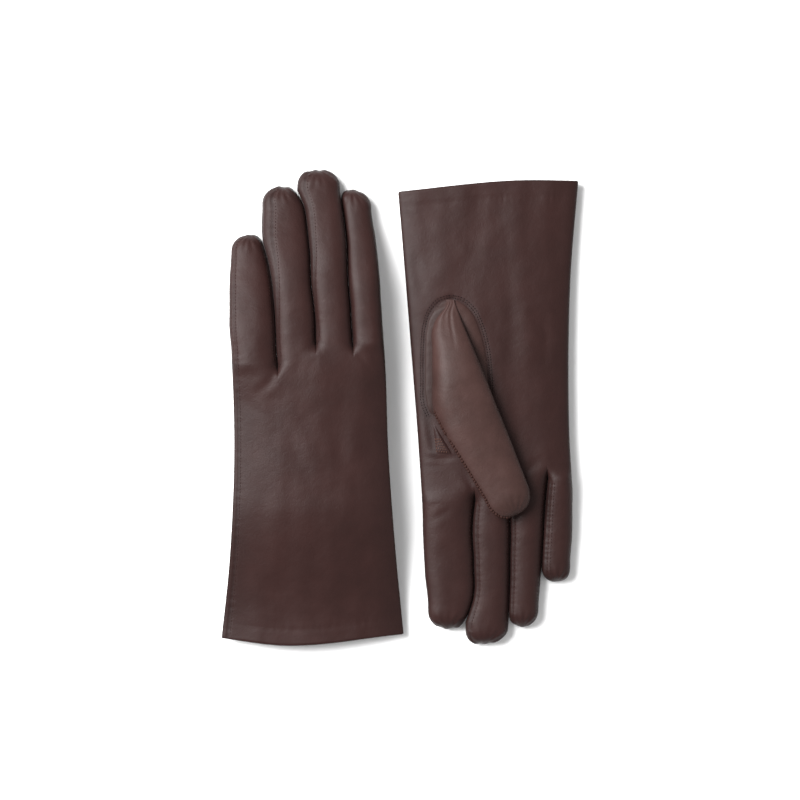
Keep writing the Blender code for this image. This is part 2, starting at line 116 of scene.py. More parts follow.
THUMB_FLOOR_DROP = 1.4
THUMB_BED = HAND_HEIGHT + 1.0
THUMB_SEAM_SHARE = 0.955
THUMB_ACROSS = 44
THUMB_ROWS = 110

# Edges of the hole that the thumb is sewn into, as plan points from the wrist end, on the thumb's
# outer side and towards the palm, and the corners of the quirk beside it.
THUMB_HOLE_OUTER = (
    (20.9, -61.5), (26.6, -60), (31.8, -54.6), (34.8, -45), (35.8, -32.5), (35.9, -15.4), (35.3, -1.7),
    (32.4, 5),
)
THUMB_HOLE_INNER = (
    (20.9, -61.5), (14.7, -59.6), (9.4, -54.9), (4.8, -45.6), (1.7, -34.2), (0, -20), (-0.8, -6.8),
)
THUMB_BASE_EDGES = (
    (-1.4, 2.5, 4.5), (0.5, -1.5, 9.8), (3.8, -4.6, 14.8), (10, -7.6, 19.7), (20.2, -8.2, 24.8),
    (31.9, -6.8, 29.8), (45.7, -2.8, 35.2), (55, 0.6, 36), (62, 3, 31),
)
THUMB_BASE_START = -1.3
THUMB_BASE_END = 61.0
POCKET_FOLD = ((35.6, 3), (32.8, 14), (30.2, 27))
QUIRK = ((31.4, 8), (19.5, 27.6), (29.5, 27))
QUIRK_STEPS = 12
QUIRK_STITCH_SHARES = (0.36, 0.5, 0.64, 0.78, 0.92)

# Stitches: rings along one as (place, thickness, rise), and the round section that they share with the
# bead along the thumb's seam.
STITCH_SECTION = tuple((math.cos(a), math.sin(a)) for a in np.linspace(0, 2.0 * math.pi, 7)[:-1])
STITCH_PROFILE = (
    (-1, 0.15, -0.9), (-0.72, 0.75, -0.1), (0, 1, 0.35), (0.72, 0.75, -0.1), (1, 0.15, -0.9),
)
THUMB_STITCH_OFFSETS = (0.95, 2.35)
BEAD_RADIUS = 0.9
BEAD_PITCH = 0.35
BEAD_FIRST_ROW = 50
BEAD_FADE_ROW = 80
PROBE_HEIGHT = 60.0

FINGERS = ("little", "ring", "middle", "index")
HAS_STRIP = {"little": (False, True), "ring": (True, True), "middle": (True, True), "index": (True, False)}

# Lines between the fingers and down the glove's sides as (y, x), from the little finger's side to the
# thumb's side, and each finger's tip. The three inner lines start at the crotches. Bends are the plan y
# where a finger's skin starts to fold and where it has folded; seams are columns across the finger.
LEFT = {
    "name": "left",
    "palm_up": False,
    "seed": 11,
    "dome": 0.8,
    "place": -50,
    "cuff": ((-52, -131.7), (-20, -135.6), (52.3, -129.4)),
    "starts": (24.5, 24.5, 37.5, 36.5, 37),
    "lines": (
        ((-132, -52), (-84, -46.9), (-24.5, -44.3), (27, -45.8), (44, -46.9), (78, -47),
         (89.5, -46.4)),
        ((24.5, -19.6), (31.4, -20.1), (58.7, -21.6), (71.3, -22.8), (84.4, -25.4), (97, -28.7),
         (114, -28.8)),
        ((37.5, 2.1), (53, 1.5), (67.8, -0.2), (89.5, -1.5), (104.3, -3), (113.4, -4.4), (124, -8.8)),
        ((36.5, 23.2), (61.6, 21.5), (77, 20.2), (93.5, 19.4), (110.6, 17.5), (122.6, 15.8)),
        ((-132, 52.3), (-84, 47.7), (-24.5, 43.4), (26.8, 41.5), (44, 40.3), (61, 39.2),
         (89.5, 36.9), (112, 33.6)),
    ),
    "tips": {"little": (-35.5, 98.6), "ring": (-16.9, 126.2), "middle": (2.7, 135.7),
             "index": (22, 124.2)},
    "bends": {"index": (38, 50), "middle": (38.5, 51), "ring": (38.5, 51), "little": (25.5, 38)},
    "seams": {"index": (4, 28), "middle": (5, 25), "ring": (5, 25), "little": (6, 24)},
    "seam_shares": {"middle": (0.035, 0.20), "ring": (0.045, 0.27)},
}
RIGHT = {
    "name": "right",
    "palm_up": True,
    "seed": 3,
    "dome": 0.2,
    "place": 50,
    "cuff": ((-52, -128.8), (-20, -129), (51.7, -122.6)),
    "starts": (41.6, 41.6, 54, 53.6, 54),
    "lines": (
        ((-130, -52), (-75, -47.5), (-32.5, -46.3), (18.8, -46.9), (53, -48.6), (78.7, -48),
         (88, -47.3)),
        ((41.6, -34.3), (57, -32.7), (78, -31.5), (98.6, -30.4), (112.3, -29.2)),
        ((54, -12.7), (78, -13), (108.9, -12.4), (124, -11.9)),
        ((53.6, 7.2), (67.8, 8.7), (88.4, 7.9), (108.9, 8.2), (123, 12.6)),
        ((-130, 51.7), (-75, 47.1), (-32.5, 43.7), (18.8, 39.7), (53, 37.5), (95.8, 35.7),
         (112.9, 34)),
    ),
    "tips": {"little": (-39.6, 100), "ring": (-19.5, 125.6), "middle": (3, 135.6),
             "index": (21.8, 126.8)},
    "bends": {"index": (55, 67), "middle": (61, 76), "ring": (61, 76), "little": (43, 55)},
    "seams": {"index": (3, 28), "middle": (4, 22), "ring": (4, 22), "little": (0, 21)},
    "seam_shares": {},
}
GLOVES = (LEFT, RIGHT)

# Creases: the points of each line in plan, its half width and its depth (below nought for a ridge).
CREASES = {
    "left": (
        (((-19.5, 23), (-24, 14), (-33, 6)), 2.4, 0.7),
        (((2.1, 36), (0.5, 27), (-2.5, 15)), 2.4, 0.15),
        (((23.5, 34), (29, 27), (34, 20)), 1.8, 0.45),
        (((25, 42), (32, 38), (39, 37)), 1.6, 0.25),
        (((-44, 5), (-36, 2), (-28, -6)), 2.4, 0.5),
        (((-8, -10), (0, -28), (6, -42)), 6.5, -0.6),
        (((-14, -12), (-7, -30), (0, -46)), 4, 0.4),
        (((8, -2), (14, -18), (20, -40)), 4.5, 0.4),
        (((-4, 122), (2, 125), (8, 123)), 1.8, 0.5),
    ),
    "right": (
        (((34.5, 66), (27, 62), (20, 56)), 2.2, 0.35),
        (((35.5, 60), (29, 55), (22, 53)), 2, 0.3),
        (((37, 29), (28, 29.5), (17, 28.5)), 1.3, 0.8),
        (((36, 33.5), (29, 33), (22, 31.5)), 1.5, 0.25),
        (((-14, 48), (-20, 38), (-30, 30)), 2.2, 0.6),
        (POCKET_FOLD, 2.3, 1.2),
        (((36, -60), (40, -75), (42, -92)), 2.6, 0.5),
        (((8, 52), (10, 44), (15, 38)), 1.6, 0.6),
        (((-22, -62), (-24, -40), (-22, -12)), 4.5, -0.8),
        (((-31, -55), (-33, -38), (-32, -22)), 3, 0.5),
        (((-12, -80), (-13, -50), (-11, -20)), 4, 0.5),
    ),
}
CREASE_DEPTH = 0.62

# --- finishes and stage ---

# Each leather's name, its darkest, middle and lightest tones, and its roughness.
LEATHERS = {
    "leather": ("glove_leather", (0.0168, 0.0054, 0.0045), (0.0194, 0.0064, 0.0054),
                (0.0225, 0.0077, 0.0066), 0.49),
    "thumb_leather": ("thumb_leather", (0.0290, 0.0130, 0.0108), (0.0370, 0.0170, 0.0145),
                      (0.0455, 0.0220, 0.0190), 0.49),
    # A darker copy of the same leather, as painted shade on the strips down the fingers' sides and in the
    # quirk's fold.
    "side_leather": ("side_leather", (0.0136, 0.0044, 0.0037), (0.0162, 0.0053, 0.0045),
                     (0.0190, 0.0064, 0.0055), 0.50),
}
# Colour that the leather is multiplied towards where shade is painted into it.
PAINTED_SHADE_TONE = (0.50, 0.46, 0.45, 1.0)
KNIT_TONES = ((0.018, 0.012, 0.010), (0.075, 0.050, 0.042))
THREADS = {
    "thread": (0.020, 0.0056, 0.0045),
    "edge_thread": (0.030, 0.0095, 0.0068),
    "pale_thread": (0.085, 0.040, 0.030),
    # Near-black thread, which also stands in for the shade in its needle holes and stitch grooves.
    "dark_thread": (0.0070, 0.0022, 0.0020),
}

# Brightness of the surroundings from the horizon up, and the lamps: place, width in metres and watts.
SKY = ((0.0, (1.0, 1.0, 1.0)), (0.04, (0.96, 0.96, 0.96)), (0.09, (0.68, 0.68, 0.68)),
       (0.30, (0.55, 0.55, 0.55)))
LAMPS = {
    "key": ((-0.9, 0.46, 1.06), 1.0, 64.0),
    "fill": ((1.3, -0.5, 0.9), 1.2, 3.0),
}
FLOOR_RADIUS = 1.6
FLOOR_DROP = 0.0003
FLOOR_TONE = (0.93, 0.93, 0.93)

# The camera looks straight down: the width in view at a plane near the gloves' top, and its lens.
VIEW_WIDTH = 0.456
VIEW_PLANE = 0.012
VIEW_MIDDLE_Y = 0.004
LENS = 200.0
SENSOR = 36.0

# --- small helpers ---


def smooth_step(x, start, end):
    """Soft step from 0 at the start to 1 at the end."""
    share = np.clip((np.asarray(x, float) - start) / (end - start), 0.0, 1.0)
    return share * share * (3.0 - 2.0 * share)


def curve(rows, x, column=1):
    """Smooth reading of a table of rows, held at its ends."""
    keys = np.array([row[0] for row in rows], float)
    values = np.array([row[column] for row in rows], float)
    slopes = np.gradient(values, keys)
    x = np.clip(np.asarray(x, float), keys[0], keys[-1])
    i = np.clip(np.searchsorted(keys, x, side="right") - 1, 0, len(keys) - 2)
    span = keys[i + 1] - keys[i]
    t = (x - keys[i]) / span
    return (values[i] * (1 + 2 * t) * (1 - t) ** 2 + slopes[i] * span * t * (1 - t) ** 2
            + values[i + 1] * t * t * (3 - 2 * t) + slopes[i + 1] * span * t * t * (t - 1))


def bell(distance, width):
    """1 at no distance, falling softly to nought."""
    return np.exp(-(distance / width) ** 2)


def rounded(share, power):
    """Height of a flattened round at a share of its width from 0 to 1."""
    return (1.0 - np.abs(np.clip(2.0 * share - 1.0, -1.0, 1.0)) ** power) ** (1.0 / power)


def spread(count):
    """Shares from 0 to 1, close together at both ends."""
    return 0.5 - 0.5 * np.cos(np.pi * np.arange(count + 1) / count)


def noise_field(points, scale, seed):
    """Smooth noise from -1 to 1 at plan points, with features about scale millimetres long."""
    return np.array([noise.noise(Vector((p[0] / scale, p[1] / scale, seed))) for p in points])


def to_frame(glove, points):
    """Plan points in millimetres to the frame's metres."""
    turn = -1.0 if glove["palm_up"] else 1.0
    points = np.asarray(points, float)
    placed = np.column_stack((glove["place"] + turn * points[:, 0], turn * points[:, 1], points[:, 2]))
    return placed * MM


def path_distance(points, path):
    """Distance from each plan point to a path, and the share of its length at the nearest place."""
    path = np.array(path, float)
    lengths = np.linalg.norm(np.diff(path, axis=0), axis=1)
    best = np.full(len(points), 1e9)
    share = np.zeros(len(points))
    before = 0.0
    for a, b, length in zip(path[:-1], path[1:], lengths):
        t = np.clip(((points - a) @ (b - a)) / length ** 2, 0.0, 1.0)
        distance = np.linalg.norm(points - a - t[:, None] * (b - a), axis=1)
        closer = distance < best
        best[closer] = distance[closer]
        share[closer] = (before + t[closer] * length) / lengths.sum()
        before += length
    return best, share


def lengths_along(path):
    """Length along a path at each of its points."""
    return np.concatenate(([0.0], np.cumsum(np.linalg.norm(np.diff(path, axis=0), axis=1))))


def resample(path, pitch):
    """Points every pitch along a path."""
    path = np.array(path, float)
    lengths = lengths_along(path)
    count = max(2, int(lengths[-1] / pitch))
    at = (np.arange(count) + 0.5) * lengths[-1] / count
    return np.column_stack([np.interp(at, lengths, path[:, k]) for k in range(path.shape[1])])


def smooth_path(path, step=0.8):
    """Rounded path through a few plan points."""
    path = np.array(path, float)
    keys = lengths_along(path)
    at = np.arange(0.0, keys[-1], step)
    return np.column_stack([curve(tuple(zip(keys, path[:, k])), at) for k in range(2)])


def directions(path):
    """Unit steps along a path."""
    ahead = np.gradient(path, axis=0)
    return ahead / np.linalg.norm(ahead, axis=1)[:, None]


def tube_faces(rings, count, first=0, open_start=False):
    """Faces of a tube of rings with count points each, closed at its ends."""
    faces = []
    for ring in range(rings - 1):
        near, far = first + ring * count, first + (ring + 1) * count
        for i in range(count):
            j = (i + 1) % count
            faces.append([near + i, near + j, far + j, far + i])
    if not open_start:
        faces.append([first + i for i in reversed(range(count))])
    faces.append([first + (rings - 1) * count + i for i in range(count)])
    return faces


def crease(points, path, width, depth):
    """A crease: a soft trough that fades at its ends, with a lip on each side."""
    distance, share = path_distance(points, path)
    fade = np.sin(np.pi * np.clip(share, 0.02, 0.98)) ** 0.7
    return CREASE_DEPTH * depth * fade * (0.3 * bell(distance - 2.0 * width, width) - bell(distance, width))


# The thumb hole's edges as rounded paths, close enough to measure distances from.
THUMB_HOLE_PATHS = (smooth_path(THUMB_HOLE_OUTER, 2.0), smooth_path(THUMB_HOLE_INNER, 2.0))


# --- the glove's skin ---


def lift(glove, y, tip_y=None):
    """Height of the underside: the left glove lies over its own tucked thumb."""
    if glove["palm_up"]:
        return np.zeros_like(np.asarray(y, float))
    fall = smooth_step(y, tip_y - LIFT_FALL, tip_y) if tip_y else 0.0
    return LIFT * smooth_step(y, LIFT_START, LIFT_FULL) * (1.0 - fall)


def hand_height(y):
    return CUFF_HEIGHT + (HAND_HEIGHT - CUFF_HEIGHT) * smooth_step(y, CUFF_END, FULL_HAND)


def make_mesh(name, points, faces):
    """Smooth object from points in the frame."""
    mesh = bpy.data.meshes.new(name)
    mesh.from_pydata([tuple(p) for p in points], [], faces)
    mesh.update()
    mesh.shade_smooth()
    return put(name, mesh)


def put(name, data):
    """New object in the scene that shows some data."""
    made = bpy.data.objects.new(name, data)
    bpy.context.scene.collection.objects.link(made)
    return made


def set_painted_shade(piece, painted_shade):
    """Stores at each point how much shade is painted into the leather there, for its finish."""
    stored = piece.data.attributes.new("painted_shade", "FLOAT", "POINT")
    stored.data.foreach_set("value", np.asarray(painted_shade, np.float32))


def ring_of(row):
    """Points round a row: across its upper face and back across its lower one."""
    upper, lower = row
    return upper + lower[-2:0:-1]


class Skin:
    """Points, faces and face labels of one leather surface, with the shade painted at each point."""

    def __init__(self):
        self.points, self.faces, self.labels, self.painted_shade = [], [], [], []

    def add(self, points, painted_shade):
        first = len(self.points)
        self.points.extend(map(tuple, points))
        self.painted_shade.extend(painted_shade)
        return list(range(first, first + len(points)))

    def add_row(self, x, y, top, bottom, painted_shade):
        """A row across the upper face and one across the lower face, which share their ends."""
        upper = self.add(np.column_stack((x, y, top)), painted_shade)
        under = self.add(np.column_stack((x, y, bottom))[1:-1], painted_shade[1:-1])
        return upper, [upper[0]] + under + [upper[-1]]

    def tube(self, rings, label_of):
        """Faces between rings of points, with fewer corners where two rings share points."""
        for row, (near, far) in enumerate(zip(rings, rings[1:])):
            for i in range(len(near)):
                j = (i + 1) % len(near)
                corners = list(dict.fromkeys((near[i], near[j], far[j], far[i])))
                if len(corners) > 2:
                    self.cap(corners, label_of(row, i))

    def cap(self, ring, label):
        self.faces.append(list(ring))
        self.labels.append(label)

    def piece(self, glove, name, label, normals):
        """One named mesh of the faces with a label, keeping the whole skin's normals."""
        faces = [face for face, own in zip(self.faces, self.labels) if own == label]
        used = sorted({k for face in faces for k in face})
        place = {k: i for i, k in enumerate(used)}
        points = to_frame(glove, np.array(self.points)[used])
        made = make_mesh(name, points, [[place[k] for k in face] for face in faces])
        made.data.normals_split_custom_set_from_vertices(normals[used].tolist())
        set_painted_shade(made, np.array(self.painted_shade)[used])
        return made


def skin_normals(glove, skin):
    """Outward normals at every point of the skin, in the frame."""
    points = to_frame(glove, np.array(skin.points))
    normals = np.zeros_like(points)
    for face in skin.faces:
        a, b, c = points[face[0]], points[face[1]], points[face[2]]
        d = points[face[-1]]
        normal = np.cross(c - a, d - b) if len(face) == 4 else np.cross(b - a, c - a)
        normals[face] += normal
    lengths = np.linalg.norm(normals, axis=1)
    return normals / np.maximum(lengths, 1e-12)[:, None]


def crotches(glove):
    """Plan x, y where each line starts; the first and last are on the glove's outer edges."""
    return [(float(curve(line, y)), y) for line, y in zip(glove["lines"], glove["starts"])]


def crotch_line(glove, column, share):
    """Plan y across a finger's root."""
    low, high = glove["starts"][column: column + 2]
    return low + (high - low) * share


def root_shares(column):
    """Shares across a finger's root, without the point that the next finger starts with."""
    return spread(ACROSS)[: ACROSS + (column == len(FINGERS) - 1)]


def four_rounds(power):
    """Heights across the four fingers' roots, each a round of its own."""
    return np.concatenate([rounded(root_shares(column), power) for column in range(len(FINGERS))])


def hand_plan(glove, along):
    """Plan x, y of the points across the hand at a share of the way from the cuff to the crotches."""
    corners = crotches(glove)
    left_y = glove["cuff"][0][1] + along * (corners[0][1] - glove["cuff"][0][1])
    right_y = glove["cuff"][-1][1] + along * (corners[-1][1] - glove["cuff"][-1][1])
    low = float(curve(glove["lines"][0], left_y))
    high = float(curve(glove["lines"][-1], right_y))
    span = corners[-1][0] - corners[0][0]
    xs, crotch_ys = [], []
    for column in range(len(FINGERS)):
        share = root_shares(column)
        near = (corners[column][0] - corners[0][0]) / span
        far = (corners[column + 1][0] - corners[0][0]) / span
        xs.extend(low + (high - low) * (near + (far - near) * share))
        crotch_ys.extend(crotch_line(glove, column, share))
    x, crotch_y = np.array(xs), np.array(crotch_ys)
    cuff_y = curve(glove["cuff"], x)
    return x, cuff_y + along * (crotch_y - cuff_y), crotch_y, (x - low) / (high - low)


def hand_dome(glove, x_share):
    """Share of the full height across the hand: a flattened round, swollen towards its middle."""
    swollen = 1.0 - (2.0 * np.clip(x_share, 0.0, 1.0) - 1.0) ** 2
    return (1.0 - glove["dome"]) * rounded(x_share, HAND_POWER) + glove["dome"] * swollen


def hand_profile(glove, x_share, below_crotch):
    """Share of the full height across the hand, with grooves that pinch it at the crotches."""
    groove = (1.0 - smooth_step(below_crotch, 0.0, GROOVE_REACH)) ** 1.6
    domed = smooth_step(below_crotch, 0.0, DOME_FADE)
    whole = hand_dome(glove, x_share) * domed + rounded(x_share, HAND_POWER) * (1.0 - domed)
    return whole * (1.0 - groove) + four_rounds(DIGIT_POWER) * groove, groove


def height_change(glove, points):
    """Creases, soft slack and hem of the leather's upper face, in millimetres."""
    change = np.zeros(len(points))
    for height, scale, step, stretch in SLACK:
        change += height * noise_field(points * (1.0, stretch), scale, glove["seed"] + step)
    for path, width, depth in CREASES[glove["name"]]:
        change += crease(points, path, width, depth)
    if glove["palm_up"]:
        for path in THUMB_HOLE_PATHS:
            distance, share = path_distance(points, path)
            fade = smooth_step(share, 0.99, 0.8)
            change -= 0.55 * bell(distance, 0.9) * fade
            change -= 0.16 * bell(distance - 1.6, 0.7) * fade
    from_cuff = points[:, 1] - curve(glove["cuff"], points[:, 0])
    pucker = 0.5 + 0.5 * noise_field(points * (1.0, 0.25), 2.4, glove["seed"] + 14.0)
    return change + hem_change(from_cuff, pucker)


def hem_change(from_cuff, pucker):
    """The hem's doubled band, the groove of its stitching, and the puckers beside it."""
    groove = bell(from_cuff - HEM_DEPTH, 0.9)
    beside = bell(from_cuff - HEM_DEPTH - 1.5, 3.0)
    band = smooth_step(from_cuff, HEM_DEPTH + 2.0, HEM_DEPTH - 2.0)
    return 0.15 * band - 0.16 * groove + 0.34 * beside * (pucker - 0.5)


def seam_change(distance, along, seed):
    """A sewn seam: a narrow valley with small puckers beside it."""
    phase = along + 1.3 * np.sin(along * 0.31 + seed)
    pucker = np.cos(phase * 2.0 * np.pi / 3.6) * bell(distance, 2.2)
    return 0.10 * pucker - 0.42 * bell(distance, 0.55)


def seam_and_fold_shade(glove, points, from_side_seam):
    """Painted shade in the grooves of the hand's sewn lines and in the pocket fold beside the thumb's hole.
    """
    if not glove["palm_up"]:
        return 0.35 * bell(from_side_seam, 0.45)
    painted_shade = np.zeros(len(points))
    for path in THUMB_HOLE_PATHS:
        distance, _ = path_distance(points, path)
        painted_shade += 0.35 * bell(distance - 1.2, 1.3)
    distance, _ = path_distance(points, POCKET_FOLD)
    painted_shade += 0.5 * bell(distance, 2.6)
    return np.minimum(painted_shade, 0.8)


def build_skin(glove):
    """Whole leather skin of one glove, and the rows of the hand and of each finger."""
    skin = Skin()
    plans = [hand_plan(glove, along) for along in np.linspace(0.0, 1.0, HAND_ROWS + 1)]
    between_fingers = 1.0 - four_rounds(2.0)
    rows = []
    for x, y, crotch_y, x_share in plans:
        points = np.column_stack((x, y))
        profile, groove = hand_profile(glove, x_share, crotch_y - y)
        half = 0.5 * hand_height(y)
        middle = lift(glove, y) + half
        change = height_change(glove, points) * np.minimum(1.0, 1.4 * profile) ** 2
        from_side_seam = x - x[SIDE_SEAM_COLUMN]
        if not glove["palm_up"]:
            change += seam_change(from_side_seam, float(y[SIDE_SEAM_COLUMN]), 6.0)
        # Painted shade on the hand's sloping sides, in the grooves between the fingers' roots, along its
        # seams and in its fold.
        painted_shade = 0.5 * bell(profile, 0.5) + 0.6 * groove * between_fingers
        painted_shade += seam_and_fold_shade(glove, points, from_side_seam)
        top = middle + half * profile + change
        rows.append(skin.add_row(x, y, top, middle - half * profile + 0.2 * np.abs(change), painted_shade))
    top, bottom = rows[-1]
    for crotch in range(ACROSS, len(FINGERS) * ACROSS, ACROSS):
        bottom[crotch] = top[crotch]
    hem = [inner_ring(glove, skin, plans[0], *offset) for offset in reversed(INNER_OFFSETS)]
    skin.tube(hem + [ring_of(row) for row in rows], lambda row, i: "hand")
    grids = {"hand": rows}
    for column, finger in enumerate(FINGERS):
        grids[finger] = finger_rows(glove, skin, column, rows[-1])
    return skin, grids


def inner_ring(glove, skin, plan, beyond, inset_share):
    """Ring of the turned-in hem: how far beyond the cuff's edge, and the share of its thickness."""
    x, y, _, x_share = plan
    inset = HEM_THICKNESS * inset_share
    profile = hand_dome(glove, x_share)
    half = 0.5 * hand_height(y) - inset
    middle = lift(glove, y + beyond) + 0.5 * hand_height(y)
    centre = 0.5 * (x[0] + x[-1])
    inner_x = centre + (x - centre) * (1.0 - inset / (0.5 * (x[-1] - x[0])))
    change = 0.10 * noise_field(np.column_stack((x, y)), 5.0, 21.0)
    top = middle + half * profile + change
    return ring_of(skin.add_row(inner_x, y + beyond, top, middle - half * profile, np.zeros(len(x))))


def tip_stations(shoulder):
    """Rows round a tip: the shoulder that they start from, and each one's angle."""
    return [(shoulder, TIP_TURN * k / TIP_ROWS) for k in range(1, TIP_ROWS + 1)]


def round_tip(angle):
    """Shares of the full width and of the way from shoulder to tip, at an angle round a tip."""
    return math.cos(angle) ** (2.0 / TIP_POWER), math.sin(angle) ** (2.0 / TIP_POWER)


def finger_edges(glove, column, y, open_share):
    """The two lines that a finger lies between, drawn in a little beside a neighbour."""
    edges = []
    for side, has_strip in enumerate(HAS_STRIP[FINGERS[column]]):
        inward = has_strip * (1.0 - 2.0 * side)
        line = curve(glove["lines"][column + side], y) + inward * FINGER_CLEARANCE * open_share
        edges.append(line + line_sway(column + side, y) * open_share)
    return edges


def line_sway(line, y):
    """Small wander of a line between two fingers, the same for both."""
    return 0.3 * noise_field(np.column_stack((y * 0.0 + line * 40.0, y)), 13.0, 30.0 + line)


def finger_rows(glove, skin, column, last_hand_row):
    """Rows of one finger from its crotch line to its tip; the first is the hand's last."""
    finger = FINGERS[column]
    tip_x, tip_y = glove["tips"][finger]
    rows = [tuple(points[column * ACROSS: (column + 1) * ACROSS + 1] for points in last_hand_row)]
    line_y = crotch_line(glove, column, spread(ACROSS))
    start_y = float(line_y.mean())
    shoulder = tip_y - TIP_ROUND[finger]
    straight = [(start_y + (shoulder - start_y) * k / FINGER_ROWS, 0.0) for k in range(1, FINGER_ROWS + 1)]
    for row_y, angle in straight + tip_stations(shoulder):
        narrow, past = round_tip(angle)
        level = row_y + TIP_ROUND[finger] * past
        share = seam_spread(glove, finger, smooth_step(level, start_y, shoulder))
        open_share = smooth_step(level, start_y - 2.0, start_y + FINGER_OPENING)
        tilt = 1.0 - smooth_step(level, start_y, start_y + ROOT_TILT_FADE)
        y = level + (line_y - start_y) * tilt
        low, high = finger_edges(glove, column, y, open_share)
        middle_x = 0.5 * (low + high)
        middle_x += (tip_x - middle_x) * past * past * 0.9
        x = middle_x + (high - low) * (share - 0.5) * narrow
        ragged = noise_field(np.column_stack((x, y)), 3.6, 60.0 + column)
        y = y + TIP_RAGGED * ragged * min(1.0, 1.6 - 1.6 * narrow)
        height = FINGER_HEIGHT + (TIP_HEIGHT - FINGER_HEIGHT) * smooth_step(level, start_y, shoulder)
        height += (HAND_HEIGHT - FINGER_HEIGHT) * (1.0 - open_share)
        profile = rounded(share, DIGIT_POWER)
        half = 0.5 * height * max(narrow, 0.02)
        middle = lift(glove, y, tip_y) + 0.5 * height * (0.3 + 0.7 * narrow)
        change = height_change(glove, np.column_stack((x, y))) * profile ** 2
        change += finger_change(glove, finger, share, level, tip_y, high - low)
        change *= min(1.0, narrow * 1.6)
        # Painted shade down the finger's sloping sides, round its tip and along its seam grooves.
        painted_shade = 0.55 * bell(profile, 0.55) + 0.5 * (1.0 - narrow)
        for seam in glove["seams"][finger]:
            painted_shade += 0.3 * bell((share - share[seam]) * (high - low), 0.45)
        top = middle + half * profile + change
        rows.append(skin.add_row(x, y, top, middle - half * profile, np.minimum(painted_shade, 1.0)))
    rings = [ring_of(row) for row in rows]
    skin.tube(rings, lambda row, i: strip_label(glove, finger, row, i))
    skin.cap(rings[-1][::-1], finger)
    return rows


def seam_spread(glove, finger, along):
    """Shares across a finger, drawn over so that its first seam runs where it shows."""
    share = spread(ACROSS)
    if finger not in glove["seam_shares"]:
        return share
    base, tip = glove["seam_shares"][finger]
    wanted = base + (tip - base) * float(along)
    power = math.log(wanted) / math.log(share[glove["seams"][finger][0]])
    ease = smooth_step(along, 0.0, 0.12)
    return share ** (1.0 + (power - 1.0) * ease)


def strip_label(glove, finger, row, i):
    """Which piece a face of the finger belongs to: its leather, or one of its side strips."""
    outer, inner = HAS_STRIP[finger]
    upper = i < ACROSS
    across = i if upper else 2 * ACROSS - 1 - i
    low_edge, high_edge = glove["seams"][finger] if upper else (STRIP_UNDER, ACROSS - STRIP_UNDER)
    if not STRIP_ROWS[0] <= row <= STRIP_ROWS[1]:
        return finger
    if outer and across < low_edge:
        return finger + "_outer_fourchette"
    if inner and across >= high_edge:
        return finger + "_inner_fourchette"
    return finger


def finger_change(glove, finger, share, level, tip_y, width):
    """Seam valleys along a finger's strips, and the gathers at its tip."""
    change = np.zeros_like(share)
    for column in glove["seams"][finger]:
        if 0 < column < ACROSS:
            distance = np.abs(share - share[column]) * width
            change += seam_change(distance, level, len(finger))
    near_tip = smooth_step(level, tip_y - 13.0, tip_y - 3.0)
    angle = np.arctan2(share - 0.5, np.maximum((tip_y + 4.0 - level) / width, 0.02))
    return change + 0.26 * near_tip * np.cos(angle * 17.0 + len(finger))


# --- thumbs ---


def thumb_plan(along, across):
    """Plan x, y at a distance along the thumb and across it."""
    x = THUMB_ROOT[0] - along * math.sin(THUMB_LEAN) + across * math.cos(THUMB_LEAN)
    y = THUMB_ROOT[1] + along * math.cos(THUMB_LEAN) + across * math.sin(THUMB_LEAN)
    return x, y


def thumb_along(point):
    """Distance along the thumb of a plan point."""
    x, y = point[0] - THUMB_ROOT[0], point[1] - THUMB_ROOT[1]
    return -x * math.sin(THUMB_LEAN) + y * math.cos(THUMB_LEAN)


def build_thumb(glove):
    """Skin of one thumb: its sewn root and its free part are one surface, split at the hinge."""
    skin = Skin()
    straight = [(level, 0.0) for level in np.linspace(0.5, THUMB_SHOULDER, THUMB_ROWS)]
    share = spread(THUMB_ACROSS)
    profile = rounded(share, THUMB_POWER)
    rows, hinge_row = [], 0
    for level, angle in straight + tip_stations(THUMB_SHOULDER):
        narrow, past = round_tip(angle)
        along = level + THUMB_TIP_ROUND * past
        low = float(curve(THUMB_EDGES, level, 1))
        high = float(curve(THUMB_EDGES, level, 2))
        across = 0.5 * (low + high) + (high - low) * (share - 0.5) * narrow
        x, y = thumb_plan(along, across)
        change = thumb_change(share, along, high - low) * min(1.0, 1.6 * narrow) * profile
        top, bottom = thumb_faces(share, profile, along, narrow)
        # Painted shade down the thumb's sloping sides and round its tip.
        painted_shade = 0.6 * bell(profile, 0.5) + 0.5 * (1.0 - narrow)
        top, bottom = thumb_level(glove, top + change, y), thumb_level(glove, bottom, y)
        rows.append(skin.add_row(x, y, top, bottom, painted_shade))
        hinge_row += along < THUMB_HINGE
    outward = 1 if glove["palm_up"] else -1
    rings = [ring_of(row)[::outward] for row in rows]
    skin.tube(rings, lambda row, i: "gusset" if row < hinge_row else "thumb")
    skin.cap(rings[0], "gusset")
    skin.cap(rings[-1][::-1], "thumb")
    return skin, rows


